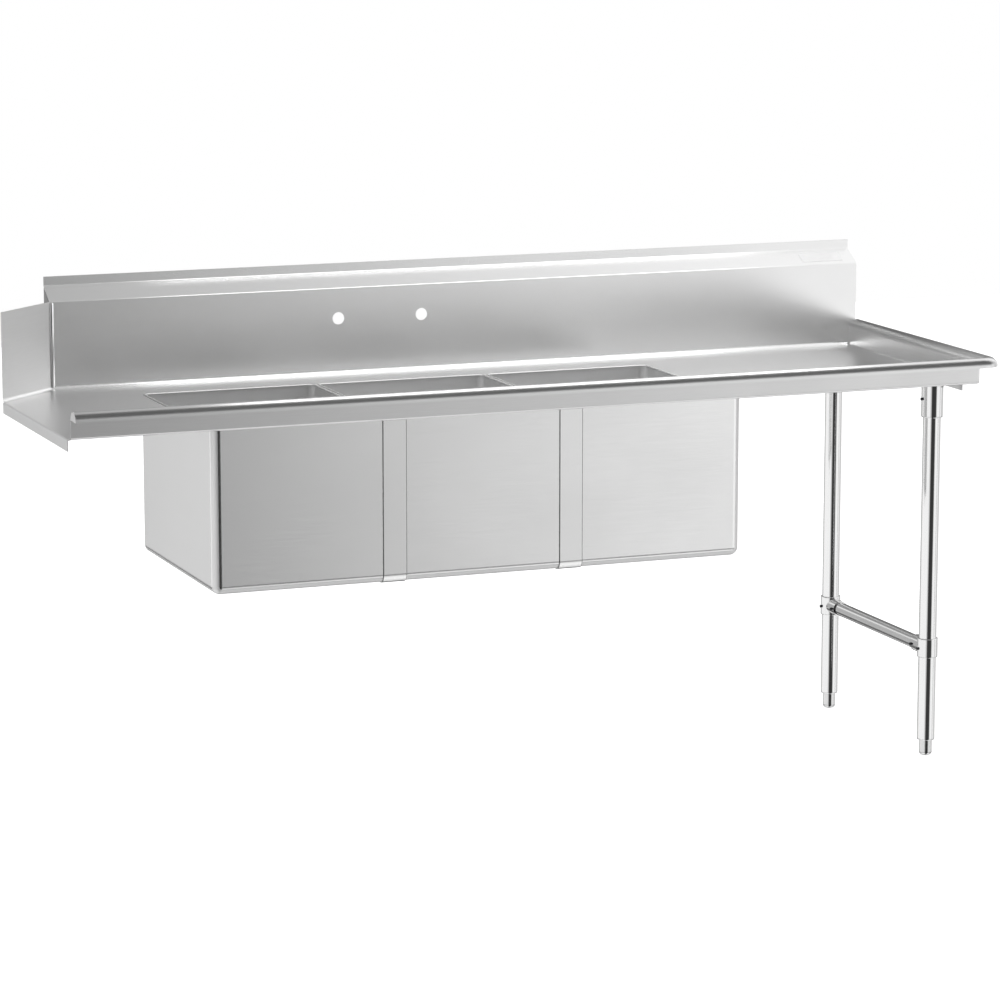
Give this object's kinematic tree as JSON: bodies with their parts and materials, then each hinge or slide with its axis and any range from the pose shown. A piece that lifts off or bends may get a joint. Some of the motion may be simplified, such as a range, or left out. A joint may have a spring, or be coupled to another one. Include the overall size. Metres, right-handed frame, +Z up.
{
  "type": "soiled dish table with three compartment sink",
  "caption": "Stainless dish table with deep sink bowls in its deck, a backsplash with faucet holes, and braced legs at one end.",
  "frame": {"origin": "on the floor, under the middle of the bounding box", "axes": "+X along the table away from the dishwashing machine, +Y towards the wall, +Z up"},
  "size_m": [2.174, 0.762, 1.128],
  "materials": {
    "sheet_steel": "brushed along the table, with a fine straight grain",
    "bowl_steel": "brushed, slightly duller than the deck",
    "strip_steel": "brushed, vertical grain",
    "drain_steel": "polished stainless",
    "gasket_rubber": "matt black",
    "locknut_brass": "cast, unpolished",
    "channel_steel": "mill finish",
    "stud_steel": "plain stainless",
    "leg_steel": "polished stainless tube",
    "socket_steel": "polished stainless",
    "clamp_steel": "cast, polished",
    "insert_steel": "turned, satin",
    "foot_steel": "turned, satin",
    "screw_steel": "black oxide"
  },
  "bodies": {
    "table": {"backsplash": "sheet_steel", "backsplash_cap_left": "sheet_steel", "backsplash_cap_right": "sheet_steel", "bowl_left": "bowl_steel", "bowl_middle": "bowl_steel", "bowl_right": "bowl_steel", "bowl_strip_left": "strip_steel", "bowl_strip_right": "strip_steel", "brace_clamp_front": "clamp_steel", "brace_clamp_rear": "clamp_steel", "channel_nuts": "stud_steel", "channel_studs": "stud_steel", "clamp_screws": "screw_steel", "cross_brace": "leg_steel", "deck": "sheet_steel", "drain_body_left": "drain_steel", "drain_body_middle": "drain_steel", "drain_body_right": "drain_steel", "drain_gasket_left": "gasket_rubber", "drain_gasket_middle": "gasket_rubber", "drain_gasket_right": "gasket_rubber", "drain_locknut_left": "locknut_brass", "drain_locknut_middle": "locknut_brass", "drain_locknut_right": "locknut_brass", "end_rim_cap": "sheet_steel", "front_rim_cap": "sheet_steel", "leg_channel": "channel_steel", "leg_front": "leg_steel", "leg_insert_front": "insert_steel", "leg_insert_rear": "insert_steel", "leg_rear": "leg_steel", "leg_socket_front": "socket_steel", "leg_socket_rear": "socket_steel", "machine_end_panel": "sheet_steel", "socket_screws": "screw_steel", "stiffener_left": "channel_steel", "stiffener_right": "channel_steel"},
    "basket_left": {"strainer_basket_left": "drain_steel", "strainer_stopper_left": "gasket_rubber"},
    "basket_middle": {"strainer_basket_middle": "drain_steel", "strainer_stopper_middle": "gasket_rubber"},
    "basket_right": {"strainer_basket_right": "drain_steel", "strainer_stopper_right": "gasket_rubber"},
    "levelling_foot_front": {"foot_front": "foot_steel"},
    "levelling_foot_rear": {"foot_rear": "foot_steel"}
  },
  "joints": [
    {"name": "basket_left_lift", "type": "slide", "parent": "table", "child": "basket_left", "axis": [0, 0, 1], "range_m": [0, 0.416]},
    {"name": "basket_middle_lift", "type": "slide", "parent": "table", "child": "basket_middle", "axis": [0, 0, 1], "range_m": [0, 0.416]},
    {"name": "basket_right_lift", "type": "slide", "parent": "table", "child": "basket_right", "axis": [0, 0, 1], "range_m": [0, 0.416]},
    {"name": "foot_front_adjust", "type": "slide", "parent": "table", "child": "levelling_foot_front", "axis": [0, 0, 1], "range_m": [-0.025, 0]},
    {"name": "foot_rear_adjust", "type": "slide", "parent": "table", "child": "levelling_foot_rear", "axis": [0, 0, 1], "range_m": [-0.025, 0]}
  ]
}
